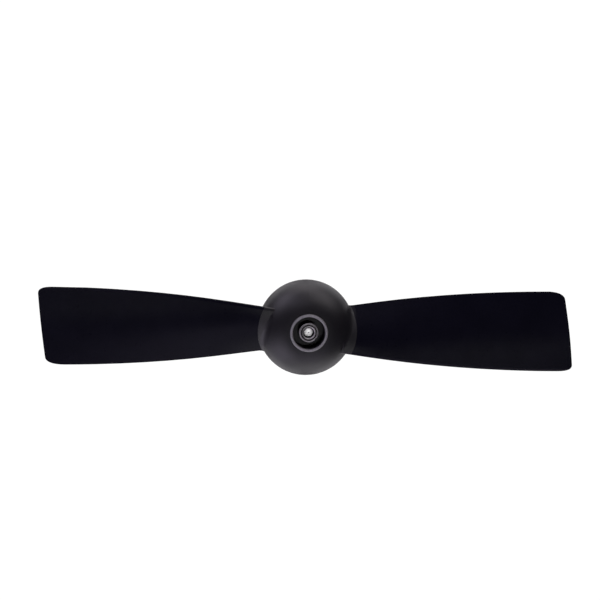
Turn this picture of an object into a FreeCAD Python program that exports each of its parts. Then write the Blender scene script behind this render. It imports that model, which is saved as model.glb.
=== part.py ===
import FreeCAD, Part
import math
import os

# A two-blade propeller for a small model aircraft, with the domed nose moulded in one
# piece with the blades.  A screw in the nose recess clamps it to an adaptor on a drive
# shaft, and the shaft turns in a flanged miniature ball bearing, which the airframe holds.
#
# The pieces are drawn with the spin axis along Z and the nose towards +Z, starting from
# z = 0 at the bearing flange's seating face.  export() then lays the axis along Y with the
# nose towards -Y, the blades along X and +Z up.
#
# The propeller turns clockwise seen from the front.

# ---- driving dimensions, millimetres -------------------------------------------------

# bearing, standard 3 x 6 x 2.5 mm size with a flange
SHAFT_R = 1.5
BEARING_R = 3.0
BEARING_FLANGE_R = 3.6
BEARING_FLANGE_T = 0.6
BEARING_W = 2.5
BALL_R = 0.40
BALL_PITCH_R = 2.25
BALL_COUNT = 8
RACE_CLEARANCE = 0.02
INNER_RING_R = 2.0
OUTER_RING_BORE_R = 2.5
SHIELD_SEAT_R = 2.6
SHIELD_SEAT_DEPTH = 0.35
SHIELD_T = 0.15
SHIELD_BORE_R = 2.08

# shims and retaining ring on the shaft
SHIM_T = 0.3
SHIM_R = 1.95
RING_T = 0.5
RING_R = 2.4
RING_GROOVE_R = 1.25
RING_MOUTH_DEG = 60.0

# drive adaptor
BOSS_R = 4.0
BOSS_LENGTH = 5.6
SEAT_R = 5.5
SEAT_T = 1.2
HEX_DRIVE_AF = 6.0
HEX_DRIVE_LENGTH = 3.8
SHAFT_BORE_DEPTH = 4.6
FIT_GAP = 0.01

# grub screws, M3 x 2.5
GRUB_R = 1.5
GRUB_LENGTH = 2.5
GRUB_HEX_AF = 1.5
GRUB_SHAFT_Z = 3.1
SHAFT_FLAT_R = 1.25

# drive shaft
SHAFT_REAR_Z = -14.0
SHAFT_FLAT_LENGTH = 4.0

# nose screw, M3 x 8 socket cap screw
SCREW_R = 1.5
SCREW_ROOT_R = 1.23
SCREW_PITCH = 0.5
SCREW_LENGTH = 8.0
SCREW_HEAD_R = 2.75
SCREW_HEAD_H = 3.0
SCREW_HEAD_CHAMFER = 0.35
SCREW_HEX_AF = 2.5
SCREW_HEX_DEPTH = 1.3
SCREW_HEX_MOUTH_R = 1.85
SCREW_DISH_R = 8.0
SCREW_HOLE_R = 1.6

# domed hub; heights are above the plane of the open rim
RIM_R = 13.66
DOME_MID_R = 12.68
DOME_MID_H = 5.50
COLLAR_R = 5.43
COLLAR_BORE_R = 4.57
COLLAR_BASE_H = 10.8
COLLAR_TOP_H = 11.5
DOME_WALL = 1.50
DOME_CEILING_H = 9.0
RECESS_FLOOR_H = 7.55
HUB_R = 6.0
HUB_REAR_H = 0.90
HUB_SOCKET_DEPTH = 3.9
RIB_T = 1.2
RIB_ANGLES = (0.0, 35.0, 90.0, 145.0)

# blades
SPAN = 152.4
PITCH = 53.0
PITCH_ROOT_R = 19.8
CHORD_MAX = 22.85
CHORD_LOSS = 8.15
CHORD_MAX_R = 71.6
BLADE_MID_ROOT_H = 4.65
BLADE_MID_TIP_H = 3.35
BLADE_LEAN = 0.2
ROOT_R = 14.1
BLADE_T_ROOT = 2.4
BLADE_T_TIP = 1.2
BLADE_EDGE_LEAD = 0.80
BLADE_EDGE_TRAIL = 0.40
BLADE_BEVEL = 0.60
BLADE_CAMBER = 0.030
TIP_SETBACK = 2.9
TIP_OVERSHOOT = 0.55
TIP_BULGE = 0.15
TIP_LEAD_CORNER = 4.3
TIP_LEAD_CORNER_CHORD = 2.1
TIP_TRAIL_CORNER = 5.3
TIP_TRAIL_CORNER_CHORD = 2.3
ROOT_FILLET = 2.4
ROOT_PAD_R = 14.1
ROOT_PAD_STEP = 0.14

# ---- places along the spin axis, worked out from the sizes above ----------------------

BEARING_REAR_Z = BEARING_FLANGE_T - BEARING_W
BEARING_MID_Z = BEARING_FLANGE_T - BEARING_W / 2
BOSS_Z = BEARING_FLANGE_T + SHIM_T
SEAT_Z = BOSS_Z + BOSS_LENGTH + SEAT_T
RIM_Z = SEAT_Z - HUB_REAR_H
HEX_TOP_Z = SEAT_Z + HEX_DRIVE_LENGTH
RECESS_Z = RIM_Z + RECESS_FLOOR_H
BORE_END_Z = BOSS_Z + SHAFT_BORE_DEPTH
RING_FRONT_Z = BEARING_REAR_Z - SHIM_T

Z = FreeCAD.Vector(0, 0, 1)
ORIGIN = FreeCAD.Vector(0, 0, 0)


# ---- small helpers -------------------------------------------------------------------

def vec(x, y, z):
    return FreeCAD.Vector(x, y, z)


def cylinder(radius, z_low, z_high):
    return Part.makeCylinder(radius, z_high - z_low, vec(0, 0, z_low))


def ring(r_in, r_out, z_low, z_high):
    return cylinder(r_out, z_low, z_high).cut(cylinder(r_in, z_low - 1, z_high + 1))


def revolve(points):
    """Turn a closed outline of (radius, height) points once around the spin axis."""
    corners = [vec(r, 0, z) for r, z in points]
    face = Part.Face(Part.makePolygon(corners + corners[:1]))
    return face.revolve(ORIGIN, Z, 360)


def hexagon(across_flats, z_low, z_high):
    corner_r = across_flats / math.sqrt(3)
    angles = [math.radians(60 * i) for i in range(7)]
    corners = [vec(corner_r * math.cos(a), corner_r * math.sin(a), z_low) for a in angles]
    return Part.Face(Part.makePolygon(corners)).extrude(vec(0, 0, z_high - z_low))


def around(shape, angle):
    """A copy of the shape turned by an angle in degrees about the spin axis."""
    turned = shape.copy()
    turned.rotate(ORIGIN, Z, angle)
    return turned


def export(name, shape):
    """Write one sub-part, with the spin axis laid along Y and the nose towards -Y."""
    placed = shape.copy()
    placed.rotate(ORIGIN, vec(1, 0, 0), 90)
    placed.exportStep("parts/" + name + ".step")


# ---- ball bearing --------------------------------------------------------------------

def race_groove():
    return Part.makeTorus(BALL_PITCH_R, BALL_R + RACE_CLEARANCE, vec(0, 0, BEARING_MID_Z))


def bearing_outer_ring():
    body = cylinder(BEARING_R, BEARING_REAR_Z, BEARING_FLANGE_T)
    body = body.fuse(cylinder(BEARING_FLANGE_R, 0, BEARING_FLANGE_T))
    body = body.cut(cylinder(OUTER_RING_BORE_R, BEARING_REAR_Z - 1, BEARING_FLANGE_T + 1))
    front_seat = cylinder(SHIELD_SEAT_R, BEARING_FLANGE_T - SHIELD_SEAT_DEPTH, BEARING_FLANGE_T + 1)
    rear_seat = cylinder(SHIELD_SEAT_R, BEARING_REAR_Z - 1, BEARING_REAR_Z + SHIELD_SEAT_DEPTH)
    return body.cut(front_seat).cut(rear_seat).cut(race_groove()).removeSplitter()


def bearing_inner_ring():
    return ring(SHAFT_R, INNER_RING_R, BEARING_REAR_Z, BEARING_FLANGE_T).cut(race_groove())


def ball_places():
    step = 2 * math.pi / BALL_COUNT
    places = []
    for i in range(BALL_COUNT):
        x = BALL_PITCH_R * math.cos(i * step)
        y = BALL_PITCH_R * math.sin(i * step)
        places.append(vec(x, y, BEARING_MID_Z))
    return places


def bearing_balls():
    return Part.makeCompound([Part.makeSphere(BALL_R, place) for place in ball_places()])


def ball_cage():
    """A crown cage: a thin ring with one open pocket for each ball."""
    cage = ring(BALL_PITCH_R - 0.12, BALL_PITCH_R + 0.12, BEARING_MID_Z - 0.2, BEARING_MID_Z + 0.62)
    for place in ball_places():
        cage = cage.cut(Part.makeSphere(BALL_R + 0.03, place))
    return cage


def bearing_shield(z_low):
    return ring(SHIELD_BORE_R, SHIELD_SEAT_R, z_low, z_low + SHIELD_T)


# ---- shaft and the small pieces on it --------------------------------------------------

def drive_shaft():
    """A plain shaft with two flats for the grub screws and a groove for the ring."""
    top = BORE_END_Z - 0.1
    chamfer = 0.3
    shaft = revolve([(0, SHAFT_REAR_Z), (SHAFT_R - chamfer, SHAFT_REAR_Z),
                     (SHAFT_R, SHAFT_REAR_Z + chamfer), (SHAFT_R, top - chamfer),
                     (SHAFT_R - chamfer, top), (0, top)])
    groove = ring(RING_GROOVE_R, SHAFT_R + 1, RING_FRONT_Z - RING_T, RING_FRONT_Z)
    shaft = shaft.cut(groove)
    for side in (1, -1):
        low = vec(-3, SHAFT_FLAT_R if side > 0 else -SHAFT_FLAT_R - 2, top - SHAFT_FLAT_LENGTH)
        shaft = shaft.cut(Part.makeBox(6, 2, SHAFT_FLAT_LENGTH + 1, low))
    return shaft


def shim_washer(z_low):
    return ring(SHAFT_R, SHIM_R, z_low, z_low + SHIM_T)


def retaining_ring():
    """A C-shaped ring that snaps into the shaft's groove behind the bearing."""
    body = ring(RING_GROOVE_R, RING_R, RING_FRONT_Z - RING_T, RING_FRONT_Z)
    half = math.radians(RING_MOUTH_DEG / 2)
    reach = 2 * RING_R
    corners = [vec(0, 0, RING_FRONT_Z - 2),
               vec(reach * math.cos(half), reach * math.sin(half), RING_FRONT_Z - 2),
               vec(reach * math.cos(half), -reach * math.sin(half), RING_FRONT_Z - 2)]
    mouth = Part.Face(Part.makePolygon(corners + corners[:1])).extrude(vec(0, 0, 4))
    return body.cut(mouth)


def drive_adaptor():
    """Turned boss for the shaft, a seat for the propeller and a hexagon that drives it."""
    chamfer = 0.4
    body = revolve([(0, BOSS_Z), (BOSS_R - chamfer, BOSS_Z), (BOSS_R, BOSS_Z + chamfer),
                    (BOSS_R, SEAT_Z - SEAT_T), (SEAT_R, SEAT_Z - SEAT_T),
                    (SEAT_R, SEAT_Z), (0, SEAT_Z)])
    body = body.fuse(hexagon(HEX_DRIVE_AF, SEAT_Z - 0.2, HEX_TOP_Z))
    body = body.cut(cylinder(SHAFT_R, BOSS_Z - 1, BORE_END_Z))
    body = body.cut(cylinder(SCREW_R + FIT_GAP, BORE_END_Z - 0.5, HEX_TOP_Z + 1))
    cross = Part.makeCylinder(GRUB_R + FIT_GAP, 2 * BOSS_R + 2,
                              vec(0, -BOSS_R - 1, GRUB_SHAFT_Z), vec(0, 1, 0))
    return body.cut(cross).removeSplitter()


def grub_screw():
    """A headless screw drawn along +Z from its flat point at z = 0."""
    chamfer = 0.3
    body = revolve([(0, 0), (GRUB_R - chamfer, 0), (GRUB_R, chamfer),
                    (GRUB_R, GRUB_LENGTH - chamfer), (GRUB_R - chamfer, GRUB_LENGTH),
                    (0, GRUB_LENGTH)])
    return body.cut(hexagon(GRUB_HEX_AF, GRUB_LENGTH - 1.2, GRUB_LENGTH + 1))


def seated_grub_screw(side):
    """A grub screw in the adaptor's cross hole, its point on the shaft's flat."""
    screw = grub_screw()
    screw.rotate(ORIGIN, vec(1, 0, 0), -90 * side)
    screw.translate(vec(0, side * SHAFT_FLAT_R, GRUB_SHAFT_Z))
    return screw


def nose_screw():
    """Socket cap screw, its thread drawn as a stack of ring grooves."""
    tip = RECESS_Z - SCREW_LENGTH
    head_top = RECESS_Z + SCREW_HEAD_H
    turns = int((SCREW_LENGTH - 1.0) / SCREW_PITCH)
    outline = [(0, tip), (SCREW_ROOT_R - 0.1, tip), (SCREW_ROOT_R, tip + 0.15)]
    for i in range(turns):
        low = tip + 0.15 + i * SCREW_PITCH
        outline.append((SCREW_R, low + 0.40 * SCREW_PITCH))
        outline.append((SCREW_R, low + 0.55 * SCREW_PITCH))
        outline.append((SCREW_ROOT_R, low + 0.95 * SCREW_PITCH))
    outline += [(SCREW_ROOT_R, RECESS_Z - 0.3), (SCREW_R, RECESS_Z - 0.2), (SCREW_R, RECESS_Z),
                (SCREW_HEAD_R - 0.1, RECESS_Z), (SCREW_HEAD_R, RECESS_Z + 0.1),
                (SCREW_HEAD_R, head_top - SCREW_HEAD_CHAMFER),
                (SCREW_HEAD_R - SCREW_HEAD_CHAMFER, head_top), (0, head_top)]
    screw = revolve(outline)
    screw = screw.cut(hexagon(SCREW_HEX_AF, head_top - SCREW_HEX_DEPTH, head_top + 1))
    mouth_h = SCREW_HEX_MOUTH_R - SCREW_HEX_AF / 2
    mouth = Part.makeCone(SCREW_HEX_AF / 2, SCREW_HEX_MOUTH_R, mouth_h, vec(0, 0, head_top - mouth_h))
    dish_depth = SCREW_DISH_R - math.sqrt(SCREW_DISH_R ** 2 - (SCREW_HEX_AF / 2) ** 2)
    dish_z = head_top - SCREW_HEX_DEPTH + SCREW_DISH_R - dish_depth
    dish = Part.makeSphere(SCREW_DISH_R, vec(0, 0, dish_z))
    dish = dish.common(cylinder(SCREW_HEX_AF / 2, RECESS_Z, head_top - SCREW_HEX_DEPTH))
    return screw.cut(mouth).cut(dish)


# ---- moulded propeller -----------------------------------------------------------------

def blade_angle(r):
    """Blade angle for a constant pitch, easing off towards the root."""
    working_r = (r ** 4 + PITCH_ROOT_R ** 4) ** 0.25
    return math.atan(PITCH / (2 * math.pi * working_r))


def blade_chord(r):
    return CHORD_MAX - CHORD_LOSS * ((CHORD_MAX_R - r) / (CHORD_MAX_R - ROOT_R)) ** 2


def outward(r):
    """0 at the blade root, 1 at the tip."""
    return (r - ROOT_R) / (SPAN / 2 - ROOT_R)


def blade_middle(r):
    """Sideways place and height of the middle of the chord."""
    height = BLADE_MID_ROOT_H + (BLADE_MID_TIP_H - BLADE_MID_ROOT_H) * outward(r)
    return -BLADE_LEAN * max(outward(r), 0), RIM_Z + height


def blade_section(r):
    """Closed section of the left blade, in the plane x = -r."""
    angle = blade_angle(r)
    chord = blade_chord(r)
    thick = BLADE_T_ROOT + (BLADE_T_TIP - BLADE_T_ROOT) * max(outward(r), 0) ** 0.7
    mid_y, mid_z = blade_middle(r)
    along = vec(0, math.cos(angle), math.sin(angle))
    normal = vec(0, -math.sin(angle), math.cos(angle))

    def place(share, offset):
        """share runs from 0 at the leading edge to 1 at the trailing edge."""
        return vec(-r, mid_y, mid_z) + along * (chord * (0.5 - share)) + normal * offset

    lead = BLADE_EDGE_LEAD / 2
    trail = BLADE_EDGE_TRAIL / 2
    crown = BLADE_CAMBER * chord
    bevel = BLADE_BEVEL / chord
    front = [place(bevel, lead + 0.1), place(0.14, 0.32 * thick + 0.55 * crown),
             place(0.38, 0.5 * thick + crown), place(0.72, 0.38 * thick + 0.7 * crown),
             place(1, trail)]
    rear = [place(1, -trail), place(0.72, 0.7 * crown - 0.38 * thick),
            place(0.38, crown - 0.5 * thick), place(0.12, 0.5 * crown - 0.30 * thick),
            place(0, -lead)]
    front_curve = Part.BSplineCurve()
    front_curve.interpolate(front)
    rear_curve = Part.BSplineCurve()
    rear_curve.interpolate(rear)
    nose = place(0, lead - 0.35)
    return Part.Wire([Part.makeLine(nose, front[0]), front_curve.toShape(),
                      Part.makeLine(front[-1], rear[0]), rear_curve.toShape(),
                      Part.makeLine(rear[-1], nose)])


def soft_corner(corner, before, after, length_before, length_after):
    """A curve that rounds a corner between two straight sides, with its two ends."""
    start = corner + (before - corner).normalize() * length_before
    end = corner + (after - corner).normalize() * length_after
    curve = Part.BezierCurve()
    curve.setPoles([start, corner, end])
    return start, curve.toShape(), end


def tip_outline():
    """A block that squares the blade off at its slanting tip and rounds the two corners."""
    tip_r = SPAN / 2
    half = blade_chord(tip_r) / 2 * math.cos(blade_angle(tip_r))
    mid_y, _ = blade_middle(tip_r)
    lead_root = vec(0, mid_y + half, 0)
    lead_tip = vec(-tip_r - TIP_OVERSHOOT, mid_y + half, 0)
    trail_tip = vec(-tip_r - TIP_OVERSHOOT + TIP_SETBACK, mid_y - half, 0)
    trail_root = vec(0, mid_y - half, 0)
    a_start, a_curve, a_end = soft_corner(lead_tip, lead_root, trail_tip,
                                          TIP_LEAD_CORNER, TIP_LEAD_CORNER_CHORD)
    b_start, b_curve, b_end = soft_corner(trail_tip, lead_tip, trail_root,
                                          TIP_TRAIL_CORNER_CHORD, TIP_TRAIL_CORNER)
    middle = (a_end + b_start) * 0.5 + vec(-TIP_BULGE, 0, 0)
    edges = [Part.makeLine(lead_root, a_start), a_curve,
             Part.Arc(a_end, middle, b_start).toShape(), b_curve,
             Part.makeLine(b_end, trail_root), Part.makeLine(trail_root, lead_root)]
    return Part.Face(Part.Wire(edges)).extrude(vec(0, 0, 30))


def left_blade():
    stations = [0.45 * ROOT_R, 10.0, 14.0, 20.0, 28.0, 38.0, 50.0, 62.0, 72.0, 79.0]
    slab = Part.makeLoft([blade_section(r) for r in stations], True, False)
    return slab.common(tip_outline())


def dome_cavity():
    """The hollow between the dome and the hub tube, open behind the rim."""
    rim = vec(RIM_R - DOME_WALL, 0, RIM_Z)
    mid = vec(DOME_MID_R - 0.90 * DOME_WALL, 0, RIM_Z + DOME_MID_H - 0.45 * DOME_WALL)
    top = vec(HUB_R, 0, RIM_Z + DOME_CEILING_H)
    below = RIM_Z - 5
    edges = [Part.Arc(rim, mid, top).toShape(), Part.makeLine(top, vec(0, 0, top.z)),
             Part.makeLine(vec(0, 0, top.z), vec(0, 0, below)),
             Part.makeLine(vec(0, 0, below), vec(rim.x, 0, below)),
             Part.makeLine(vec(rim.x, 0, below), rim)]
    hollow = Part.Face(Part.Wire(edges)).revolve(ORIGIN, Z, 360)
    return hollow.cut(cylinder(HUB_R, RIM_Z + HUB_REAR_H, RIM_Z + COLLAR_TOP_H))


def dome_outside():
    """The dome with its raised collar and the recess for the screw head."""
    rim = vec(RIM_R, 0, RIM_Z)
    mid = vec(DOME_MID_R, 0, RIM_Z + DOME_MID_H)
    base = vec(COLLAR_R, 0, RIM_Z + COLLAR_BASE_H)
    collar_mid_r = (COLLAR_R + COLLAR_BORE_R) / 2
    round_r = (COLLAR_R - COLLAR_BORE_R) / 2
    outer = vec(COLLAR_R, 0, RIM_Z + COLLAR_TOP_H - round_r)
    crest = vec(collar_mid_r, 0, RIM_Z + COLLAR_TOP_H)
    inner = vec(COLLAR_BORE_R, 0, outer.z)
    floor = vec(COLLAR_BORE_R, 0, RECESS_Z)
    edges = [Part.Arc(rim, mid, base).toShape(), Part.makeLine(base, outer),
             Part.Arc(outer, crest, inner).toShape(), Part.makeLine(inner, floor),
             Part.makeLine(floor, vec(0, 0, RECESS_Z)),
             Part.makeLine(vec(0, 0, RECESS_Z), vec(0, 0, RIM_Z)),
             Part.makeLine(vec(0, 0, RIM_Z), rim)]
    return Part.Face(Part.Wire(edges)).revolve(ORIGIN, Z, 360)


def ribs(cavity):
    """Upright webs that tie the hub tube to the dome, drawn straight out of the mould."""
    webs = None
    for angle in RIB_ANGLES:
        bar = Part.makeBox(2 * RIM_R, RIB_T, 12, vec(-RIM_R, -RIB_T / 2, RIM_Z + HUB_REAR_H))
        bar = around(bar, angle)
        webs = bar if webs is None else webs.fuse(bar)
    return webs.common(cavity)


def front_root_edges(body):
    """The two edges where the front of a blade meets the outside of the dome."""
    found = []
    for edge in body.Edges:
        middle = edge.valueAt((edge.FirstParameter + edge.LastParameter) / 2)
        r = math.hypot(middle.x, middle.y)
        height = middle.z - RIM_Z
        at_root = 0.7 * RIM_R < r < RIM_R and abs(middle.x) > abs(middle.y)
        if at_root and height > BLADE_MID_ROOT_H and edge.Length > RIM_R / 2:
            found.append(edge)
    return found


def root_pad(blade):
    """The blade's front face stands a little proud inside a circle about the spin axis."""
    pad = blade.common(cylinder(ROOT_PAD_R, RIM_Z, RIM_Z + COLLAR_TOP_H))
    pad.translate(vec(0, 0, ROOT_PAD_STEP))
    return pad


def moulded_propeller():
    """Dome, hub tube, ribs and both blades: one moulding."""
    cavity = dome_cavity()
    left = left_blade()
    pad = root_pad(left)
    dome = around(dome_outside(), 90)
    body = dome.fuse(left).fuse(around(left, 180))
    body = body.makeFillet(ROOT_FILLET, front_root_edges(body))
    body = body.fuse(pad).fuse(around(pad, 180))
    body = body.cut(cavity).fuse(ribs(cavity)).removeSplitter()
    body = body.cut(hexagon(HEX_DRIVE_AF, SEAT_Z - 1, SEAT_Z + HUB_SOCKET_DEPTH))
    return body.cut(cylinder(SCREW_HOLE_R, RIM_Z, RECESS_Z + 1))


# ---- write every sub-part ----------------------------------------------------------------

os.makedirs("parts", exist_ok=True)
export("moulded_propeller", moulded_propeller())
export("nose_screw", nose_screw())
export("drive_adaptor", drive_adaptor())
export("grub_screw_upper", seated_grub_screw(1))
export("grub_screw_lower", seated_grub_screw(-1))
export("drive_shaft", drive_shaft())
export("shim_washer_front", shim_washer(BEARING_FLANGE_T))
export("shim_washer_rear", shim_washer(BEARING_REAR_Z - SHIM_T))
export("retaining_ring", retaining_ring())
export("bearing_inner_ring", bearing_inner_ring())
export("bearing_outer_ring", bearing_outer_ring())
export("bearing_balls", bearing_balls())
export("ball_cage", ball_cage())
export("bearing_shield_front", bearing_shield(BEARING_FLANGE_T - SHIELD_SEAT_DEPTH))
export("bearing_shield_rear", bearing_shield(BEARING_REAR_Z + SHIELD_SEAT_DEPTH - SHIELD_T))
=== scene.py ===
import math

import bpy
from mathutils import Matrix, Vector


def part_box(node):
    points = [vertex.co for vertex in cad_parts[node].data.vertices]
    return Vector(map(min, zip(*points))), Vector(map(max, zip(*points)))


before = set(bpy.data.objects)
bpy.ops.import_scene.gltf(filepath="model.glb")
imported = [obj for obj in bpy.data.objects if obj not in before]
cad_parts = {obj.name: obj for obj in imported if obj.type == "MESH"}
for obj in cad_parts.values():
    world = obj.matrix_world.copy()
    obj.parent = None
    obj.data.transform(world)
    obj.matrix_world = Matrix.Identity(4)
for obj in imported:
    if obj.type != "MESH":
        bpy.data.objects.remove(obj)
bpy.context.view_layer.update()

MM = 0.001
PER_MM = 1000.0

# ---- camera --------------------------------------------------------------------------
# The view is from in front of the nose, a little from the left and from above, and the
# object looks turned slightly clockwise.  The camera aims at the axis in the rim's plane.

SIDE_DEG = 5.494
ABOVE_DEG = 9.545
ROLL_DEG = 1.723
DISTANCE = 1.1426
LENS_MM = 240.2
SENSOR_MM = 36.0
SHIFT = (-0.00908, 0.0443)
CLIP_START = 0.01
CLIP_END = 50

# ---- places on the nose, millimetres -------------------------------------------------
# Depths run towards the rear from the top of the lip or of the screw's head.  Each pair
# is where a finish or a painted highlight starts to change and where it has changed.

LIP_TOP_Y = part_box("moulded_propeller")[0].y / MM
HEAD_TOP_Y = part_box("nose_screw")[0].y / MM

ROOT_PAD_EDGE = (14.05, 14.20)
# The lip's crest carries a painted highlight, placed by these three.
LIP_R = 5.0
LIP_HALF_WIDTH = (0.22, 0.56)
LIP_DEPTH = (0.05, 0.60)
RECESS_R = (4.4, 4.7)
RECESS_DEPTH = (0.5, 1.0)

# The head's edge and the socket's mouth carry painted highlights, placed by these.
HEAD_EDGE_R = 2.58
HEAD_EDGE_HALF_WIDTH = (0.17, 0.26)
SOCKET_MOUTH_R = 1.70
SOCKET_MOUTH_HALF_WIDTH = (0.10, 0.20)
HEAD_FRONT_DEPTH = (0.40, 0.60)
SOCKET_FLOOR_R = (1.10, 1.30)
SOCKET_FLOOR_DEPTH = (1.1, 1.3)

# ---- finishes --------------------------------------------------------------------------

NYLON_IOR = 1.5
BLADE_BLACK = ((0.0054, 0.0051, 0.0108), (0.0074, 0.0070, 0.0140))
BLADE_GLOSS = 0.07
BLADE_ROUGH = 0.30
HUB_BLACK = ((0.0090, 0.0081, 0.0115), (0.0115, 0.0103, 0.0140))
HUB_SATIN = 0.88
HUB_SATIN_ROUGH = 0.45
HUB_ROUGH = 0.45
# Painted highlight: a lighter grey on the lip's crest that stands in for the light it catches.
LIP_PAINTED_HIGHLIGHT = (0.37, 0.36, 0.38)

OILED_STEEL = ((0.009, 0.008, 0.009), (0.015, 0.014, 0.015))
OILED_ROUGH = 0.34
# Painted highlights: light rough steel on the head's edge and socket mouth, standing in for
# the light they catch.
HIGHLIGHT_STEEL = (0.92, 0.90, 0.90)
HIGHLIGHT_STEEL_ROUGH = 0.72
BARE_STEEL = (0.80, 0.79, 0.79)
MOUTH_HIGHLIGHT_SHARE = 0.85

# Turned metals: the darker colour, the lighter one, and the range of roughness.
TURNED = {
    "adaptor_aluminium": ((0.70, 0.70, 0.71), (0.80, 0.80, 0.81), (0.22, 0.36)),
    "black_steel": ((0.020, 0.020, 0.024), (0.045, 0.045, 0.050), (0.30, 0.45)),
    "shaft_steel": ((0.55, 0.55, 0.56), (0.65, 0.65, 0.66), (0.12, 0.22)),
    "shim_brass": ((0.62, 0.44, 0.18), (0.76, 0.58, 0.30), (0.20, 0.36)),
    "spring_steel": ((0.14, 0.15, 0.18), (0.24, 0.25, 0.29), (0.22, 0.38)),
    "bearing_steel": ((0.60, 0.60, 0.61), (0.70, 0.70, 0.71), (0.08, 0.18)),
    "ball_steel": ((0.72, 0.72, 0.73), (0.78, 0.78, 0.79), (0.03, 0.08)),
    "cage_brass": ((0.62, 0.46, 0.20), (0.74, 0.58, 0.32), (0.22, 0.36)),
    "shield_steel": ((0.48, 0.48, 0.50), (0.60, 0.60, 0.61), (0.20, 0.34)),
}

# ---- light -----------------------------------------------------------------------------

WHITE = (1, 1, 1)
NEUTRAL = (1.0, 0.975, 1.01)
COOL = (0.98, 0.91, 1.10)
WARM = (1.03, 0.97, 1.01)
PAPER_GLOW = 1.05
FLOOR_Z = -0.095
FLOOR_HALF_SIDE = 9
LAMP_DISTANCE = 1.0
LAMP_SIZE = 0.75

BACK_RING_STEP_DEG = 60
BACK_RING_FROM_FRONT = 130
BACK_RING_WATTS = 1.4

# Each lamp: its angle from the camera's side, its angle round the view, anticlockwise from
# the right, both in degrees, its watts, its tint and its diameter in metres.
LAMPS = {
    "back_middle": (178, 0, 1.6, NEUTRAL, LAMP_SIZE),
    "above": (98, 90, 2.4, WARM, LAMP_SIZE),
    "below": (98, 270, 1.9, NEUTRAL, LAMP_SIZE),
    "below_right": (95, 298, 0.9, NEUTRAL, 0.6),
    "below_left": (95, 225, 1.4, COOL, LAMP_SIZE),
    "low_left": (65, 236, 2.4, COOL, LAMP_SIZE),
    "high_left": (74, 130, 2.9, COOL, LAMP_SIZE),
    "high_right": (72, 55, 3.0, WARM, 0.85),
    "front_high": (40, 105, 0.6, COOL, 0.5),
    "front_low": (62, 285, 0.9, COOL, 0.5),
    "nose_glint": (22, -60, 0.75, WHITE, 0.2),
}


# ---- small helpers -------------------------------------------------------------------

def link_object(name, data):
    thing = bpy.data.objects.new(name, data)
    bpy.context.scene.collection.objects.link(thing)
    return thing


class Shader:
    """A material on a Principled shader, whose other nodes are added one call at a time."""

    def __init__(self, name):
        self.material = bpy.data.materials.new(name)
        self.material.use_nodes = True
        self.tree = self.material.node_tree
        self.tree.nodes.clear()
        output = self.add("ShaderNodeOutputMaterial")
        self.surface = self.add("ShaderNodeBsdfPrincipled")
        self.join(self.surface.outputs[0], output.inputs["Surface"])
        scaled = self.add("ShaderNodeVectorMath", operation="SCALE")
        self.join(self.add("ShaderNodeTexCoord").outputs["Object"], scaled.inputs[0])
        scaled.inputs["Scale"].default_value = PER_MM
        self.mm = scaled.outputs["Vector"]

    def add(self, kind, **settings):
        node = self.tree.nodes.new(kind)
        for key, value in settings.items():
            setattr(node, key, value)
        return node

    def join(self, source, target):
        self.tree.links.new(source, target)

    def feed(self, target, value):
        if isinstance(value, bpy.types.NodeSocket):
            self.join(value, target)
        else:
            target.default_value = value

    def math(self, operation, a, b=0.0):
        node = self.add("ShaderNodeMath", operation=operation)
        self.feed(node.inputs[0], a)
        self.feed(node.inputs[1], b)
        return node.outputs[0]

    def times(self, a, b):
        return self.math("MULTIPLY", a, b)

    def turned_place(self):
        """The distance from the spin axis and the place along it, in millimetres."""
        node = self.add("ShaderNodeSeparateXYZ")
        self.join(self.mm, node.inputs[0])
        x, y, z = node.outputs
        radius = self.math("SQRT", self.math("ADD", self.times(x, x), self.times(z, z)))
        return radius, y

    def mix(self, share, first, second):
        node = self.add("ShaderNodeMix", data_type="RGBA")
        self.feed(node.inputs[0], share)
        for place, value in ((6, first), (7, second)):
            self.feed(node.inputs[place], (*value, 1) if isinstance(value, tuple) else value)
        return node.outputs[2]

    def noise(self, scale, detail, where=None):
        node = self.add("ShaderNodeTexNoise")
        self.feed(node.inputs["Vector"], where or self.mm)
        node.inputs["Scale"].default_value = scale
        node.inputs["Detail"].default_value = detail
        node.inputs["Roughness"].default_value = 0.5
        return node.outputs["Fac"]

    def spread(self, value, low, high, start=0.3, end=0.7):
        """low where value is at start, high where it is at end, and held beyond them.  The
        usual start and end are the range that a noise covers."""
        node = self.add("ShaderNodeMapRange")
        self.feed(node.inputs["Value"], value)
        node.inputs["From Min"].default_value = start
        node.inputs["From Max"].default_value = end
        node.inputs["To Min"].default_value = low
        node.inputs["To Max"].default_value = high
        return node.outputs["Result"]

    def within(self, value, limits):
        """1 up to the first limit, fading to 0 at the second."""
        return self.spread(value, 1.0, 0.0, *limits)

    def near(self, value, middle, limits):
        return self.within(self.math("ABSOLUTE", self.math("SUBTRACT", value, middle)), limits)

    def colours(self, value, dark, light):
        node = self.add("ShaderNodeValToRGB")
        self.feed(node.inputs["Fac"], value)
        first, last = node.color_ramp.elements
        first.position, first.color = 0.3, (*dark, 1)
        last.position, last.color = 0.7, (*light, 1)
        return node.outputs["Color"]

    def bump(self, height, distance_mm, strength, under=None):
        node = self.add("ShaderNodeBump")
        node.inputs["Strength"].default_value = strength
        node.inputs["Distance"].default_value = distance_mm * MM
        self.join(height, node.inputs["Height"])
        if under is not None:
            self.join(under, node.inputs["Normal"])
        return node.outputs["Normal"]

    def finish(self, **values):
        for name, value in values.items():
            self.feed(self.surface.inputs[name.replace("_", " ")], value)
        return self.material


def behind(top_y, depths):
    return top_y + depths[0], top_y + depths[1]


# ---- materials -------------------------------------------------------------------------

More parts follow.
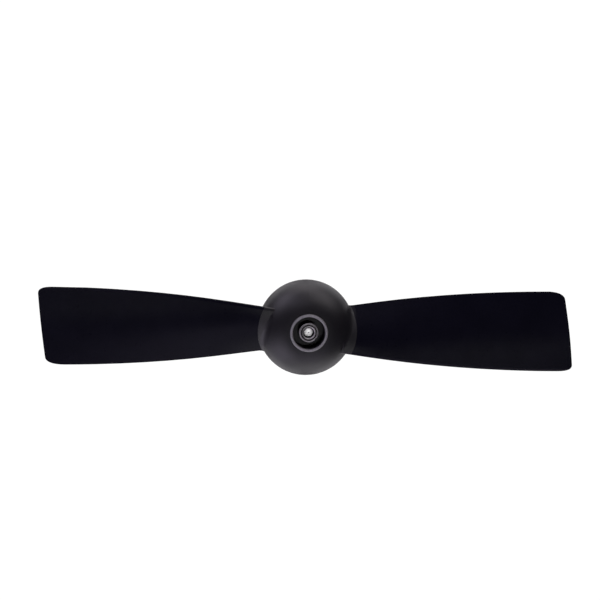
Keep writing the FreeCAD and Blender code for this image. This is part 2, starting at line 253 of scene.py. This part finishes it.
def nylon():
    """Black moulding: satin on the hub, with little gloss on the darker blades, and a painted
    highlight in lighter grey on the crest of the lip round the nose recess."""
    s = Shader("black_nylon")
    radius, y = s.turned_place()
    hub = s.within(radius, ROOT_PAD_EDGE)
    flow = s.noise(0.12, 2.0)
    grain = s.noise(6.0, 2.0)
    pits = s.noise(1.6, 3.0)

    # Painted highlight on the lip's crest, made patchy by a noise.
    crest = s.near(radius, LIP_R, LIP_HALF_WIDTH)
    front = s.within(y, behind(LIP_TOP_Y, LIP_DEPTH))
    highlight_patches = s.spread(s.noise(2.2, 4.0), 0.75, 1.0)
    painted_highlight = s.times(s.times(crest, front), highlight_patches)
    colour = s.mix(hub, s.colours(flow, *BLADE_BLACK), s.colours(flow, *HUB_BLACK))
    colour = s.mix(painted_highlight, colour, LIP_PAINTED_HIGHLIGHT)

    deep = s.spread(y, 0.0, 1.0, *behind(LIP_TOP_Y, RECESS_DEPTH))
    recess = s.times(s.within(radius, RECESS_R), deep)
    satin = s.times(hub, s.spread(recess, HUB_SATIN, HUB_SATIN / 2, 0.0, 1.0))
    rough = s.spread(hub, BLADE_ROUGH, HUB_ROUGH, 0.0, 1.0)
    rough = s.math("ADD", rough, s.spread(pits, -0.03, 0.04))

    normal = s.bump(flow, 0.04, 0.5)
    normal = s.bump(pits, 0.008, 0.4, normal)
    normal = s.bump(s.times(grain, hub), 0.006, 0.6, normal)
    return s.finish(Base_Color=colour, Roughness=rough, Normal=normal, IOR=NYLON_IOR,
                    Specular_IOR_Level=BLADE_GLOSS, Coat_Weight=satin,
                    Coat_Roughness=HUB_SATIN_ROUGH)


def screw_steel():
    """Dark oiled steel, with painted highlights in light rough steel on the edge of the head
    and the mouth of the socket; the bottom of the socket is bare."""
    s = Shader("oiled_steel")
    radius, y = s.turned_place()
    rings = s.noise(9.0, 3.0)
    stains = s.noise(1.4, 3.0)

    # Painted highlights on the head's edge and the socket's mouth, blotched by the stain
    # noise.
    edge = s.near(radius, HEAD_EDGE_R, HEAD_EDGE_HALF_WIDTH)
    mouth = s.near(radius, SOCKET_MOUTH_R, SOCKET_MOUTH_HALF_WIDTH)
    front = s.within(y, behind(HEAD_TOP_Y, HEAD_FRONT_DEPTH))
    painted_highlight = s.times(s.math("MAXIMUM", edge, s.times(mouth, MOUTH_HIGHLIGHT_SHARE)), front)
    painted_highlight = s.times(painted_highlight, s.spread(stains, 0.8, 1.0))
    deep = s.spread(y, 0.0, 1.0, *behind(HEAD_TOP_Y, SOCKET_FLOOR_DEPTH))
    bare = s.times(s.within(radius, SOCKET_FLOOR_R), deep)

    colour = s.mix(painted_highlight, s.colours(stains, *OILED_STEEL), HIGHLIGHT_STEEL)
    colour = s.mix(bare, colour, BARE_STEEL)
    rough = s.spread(painted_highlight, OILED_ROUGH, HIGHLIGHT_STEEL_ROUGH, 0.0, 1.0)
    rough = s.math("ADD", rough, s.spread(rings, -0.03, 0.05))
    return s.finish(Base_Color=colour, Metallic=1.0, Roughness=rough,
                    Normal=s.bump(rings, 0.004, 0.4))


def turned_metal(name, dark, light, roughness):
    """Bare metal with the fine rings that a lathe leaves round the spin axis."""
    s = Shader(name)
    radius, y = s.turned_place()
    lathe = s.add("ShaderNodeCombineXYZ")
    s.join(radius, lathe.inputs["X"])
    s.join(y, lathe.inputs["Y"])
    rings = s.noise(14.0, 3.0, lathe.outputs[0])
    stains = s.noise(1.1, 3.0)
    return s.finish(Base_Color=s.colours(stains, dark, light), Metallic=1.0,
                    Roughness=s.spread(rings, *roughness), Normal=s.bump(rings, 0.006, 0.5))


def paint_nodes():
    """Every CAD node keeps its mesh, and its material slots get the materials made here."""
    made = {"moulded_nylon": nylon(), "screw_steel": screw_steel()}
    for name, (dark, light, roughness) in TURNED.items():
        made[name] = turned_metal(name, dark, light, roughness)
    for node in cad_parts.values():
        for place in node.material_slots:
            place.material = made[place.material.name.split(".")[0]]


# ---- camera, floor, surroundings and light -----------------------------------------------

def add_camera():
    rim_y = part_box("moulded_propeller")[1].y
    turn = (Matrix.Rotation(-math.radians(ROLL_DEG), 3, "Z")
            @ Matrix.Rotation(math.radians(ABOVE_DEG), 3, "X")
            @ Matrix.Rotation(math.radians(SIDE_DEG), 3, "Y"))
    stand_up = Matrix(((1, 0, 0), (0, 0, -1), (0, 1, 0)))
    facing = stand_up @ turn.transposed()
    data = bpy.data.cameras.new("camera")
    data.sensor_width = SENSOR_MM
    data.lens = LENS_MM
    data.shift_x, data.shift_y = SHIFT
    data.clip_start = CLIP_START
    data.clip_end = CLIP_END
    camera = link_object("camera", data)
    place = Vector((0, rim_y, 0)) + facing @ Vector((0, 0, DISTANCE))
    camera.matrix_world = Matrix.Translation(place) @ facing.to_4x4()
    bpy.context.scene.camera = camera


def white_floor():
    """An even bright white, so that the object seems to stand on nothing."""
    material = bpy.data.materials.new("white_floor")
    material.use_nodes = True
    tree = material.node_tree
    tree.nodes.clear()
    glow = tree.nodes.new("ShaderNodeEmission")
    glow.inputs["Color"].default_value = (1, 1, 1, 1)
    glow.inputs["Strength"].default_value = PAPER_GLOW
    output = tree.nodes.new("ShaderNodeOutputMaterial")
    tree.links.new(glow.outputs[0], output.inputs["Surface"])
    return material


def add_floor():
    """The floor and the world are white to the camera only, so all light is the lamps'."""
    side = FLOOR_HALF_SIDE
    square = ((-side, -side), (side, -side), (side, side), (-side, side))
    corners = [(x, y, FLOOR_Z) for x, y in square]
    mesh = bpy.data.meshes.new("floor")
    mesh.from_pydata(corners, [], [(0, 1, 2, 3)])
    mesh.materials.append(white_floor())
    floor = link_object("floor", mesh)
    floor.visible_glossy = False
    floor.visible_diffuse = False
    floor.visible_shadow = False


def add_world():
    world = bpy.data.worlds.new("studio")
    bpy.context.scene.world = world
    world.use_nodes = True
    back = world.node_tree.nodes["Background"]
    back.inputs["Color"].default_value = (1, 1, 1, 1)
    back.inputs["Strength"].default_value = PAPER_GLOW
    world.cycles_visibility.glossy = False
    world.cycles_visibility.diffuse = False
    bpy.context.scene.view_settings.view_transform = "Standard"


def soft_lamp(name, from_front, around, watts, tint, size):
    """A round lamp aimed at the nose, which the camera doesn't see."""
    light = bpy.data.lights.new(name, "AREA")
    light.shape = "DISK"
    light.size = size
    light.energy = watts
    light.color = tint
    lamp = link_object(name, light)
    away, round_view = math.radians(from_front), math.radians(around)
    side = Vector((math.cos(round_view), math.sin(round_view), 0)) * math.sin(away)
    facing = bpy.context.scene.camera.matrix_world.to_3x3()
    towards = facing @ (side + Vector((0, 0, math.cos(away))))
    turn = towards.to_track_quat("Z", "Y").to_matrix().to_4x4()
    lamp.matrix_world = Matrix.Translation(towards * LAMP_DISTANCE) @ turn
    lamp.visible_camera = False


def add_lamps():
    for around in range(0, 360, BACK_RING_STEP_DEG):
        soft_lamp("back_%d" % around, BACK_RING_FROM_FRONT, around, BACK_RING_WATTS,
                  NEUTRAL, LAMP_SIZE)
    for name, facts in LAMPS.items():
        soft_lamp(name, *facts)


add_camera()
add_floor()
add_lamps()
add_world()
paint_nodes()
